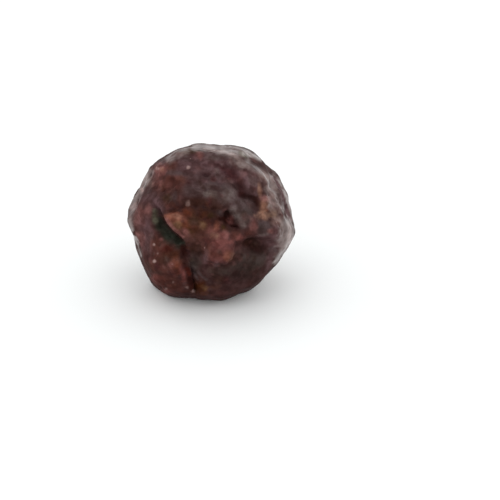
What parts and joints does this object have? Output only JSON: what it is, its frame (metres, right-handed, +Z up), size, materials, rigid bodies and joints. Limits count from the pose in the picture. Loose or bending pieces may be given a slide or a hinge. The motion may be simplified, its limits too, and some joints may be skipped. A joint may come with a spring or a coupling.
{
  "type": "rough garnet",
  "caption": "Single worn, dark red-brown rough garnet crystal with flat growth faces, a deep cleft, ledges, pits and rounded knobs, resting on one face as a loose display stone.",
  "frame": {"origin": "under the middle of the stone's box, on the surface that it rests on", "axes": "+Z up, away from the face it rests on; the best side, with the cleft and the knobs, faces -Y; +X to the right of someone who looks at that side"},
  "size_m": [0.014, 0.0136, 0.0126],
  "materials": {
    "garnet": "worn natural crystal skin, dark purplish brown with red-brown, orange and olive stains, dull to satin"
  },
  "bodies": {
    "root": {"garnet": "garnet"}
  },
  "joints": []
}
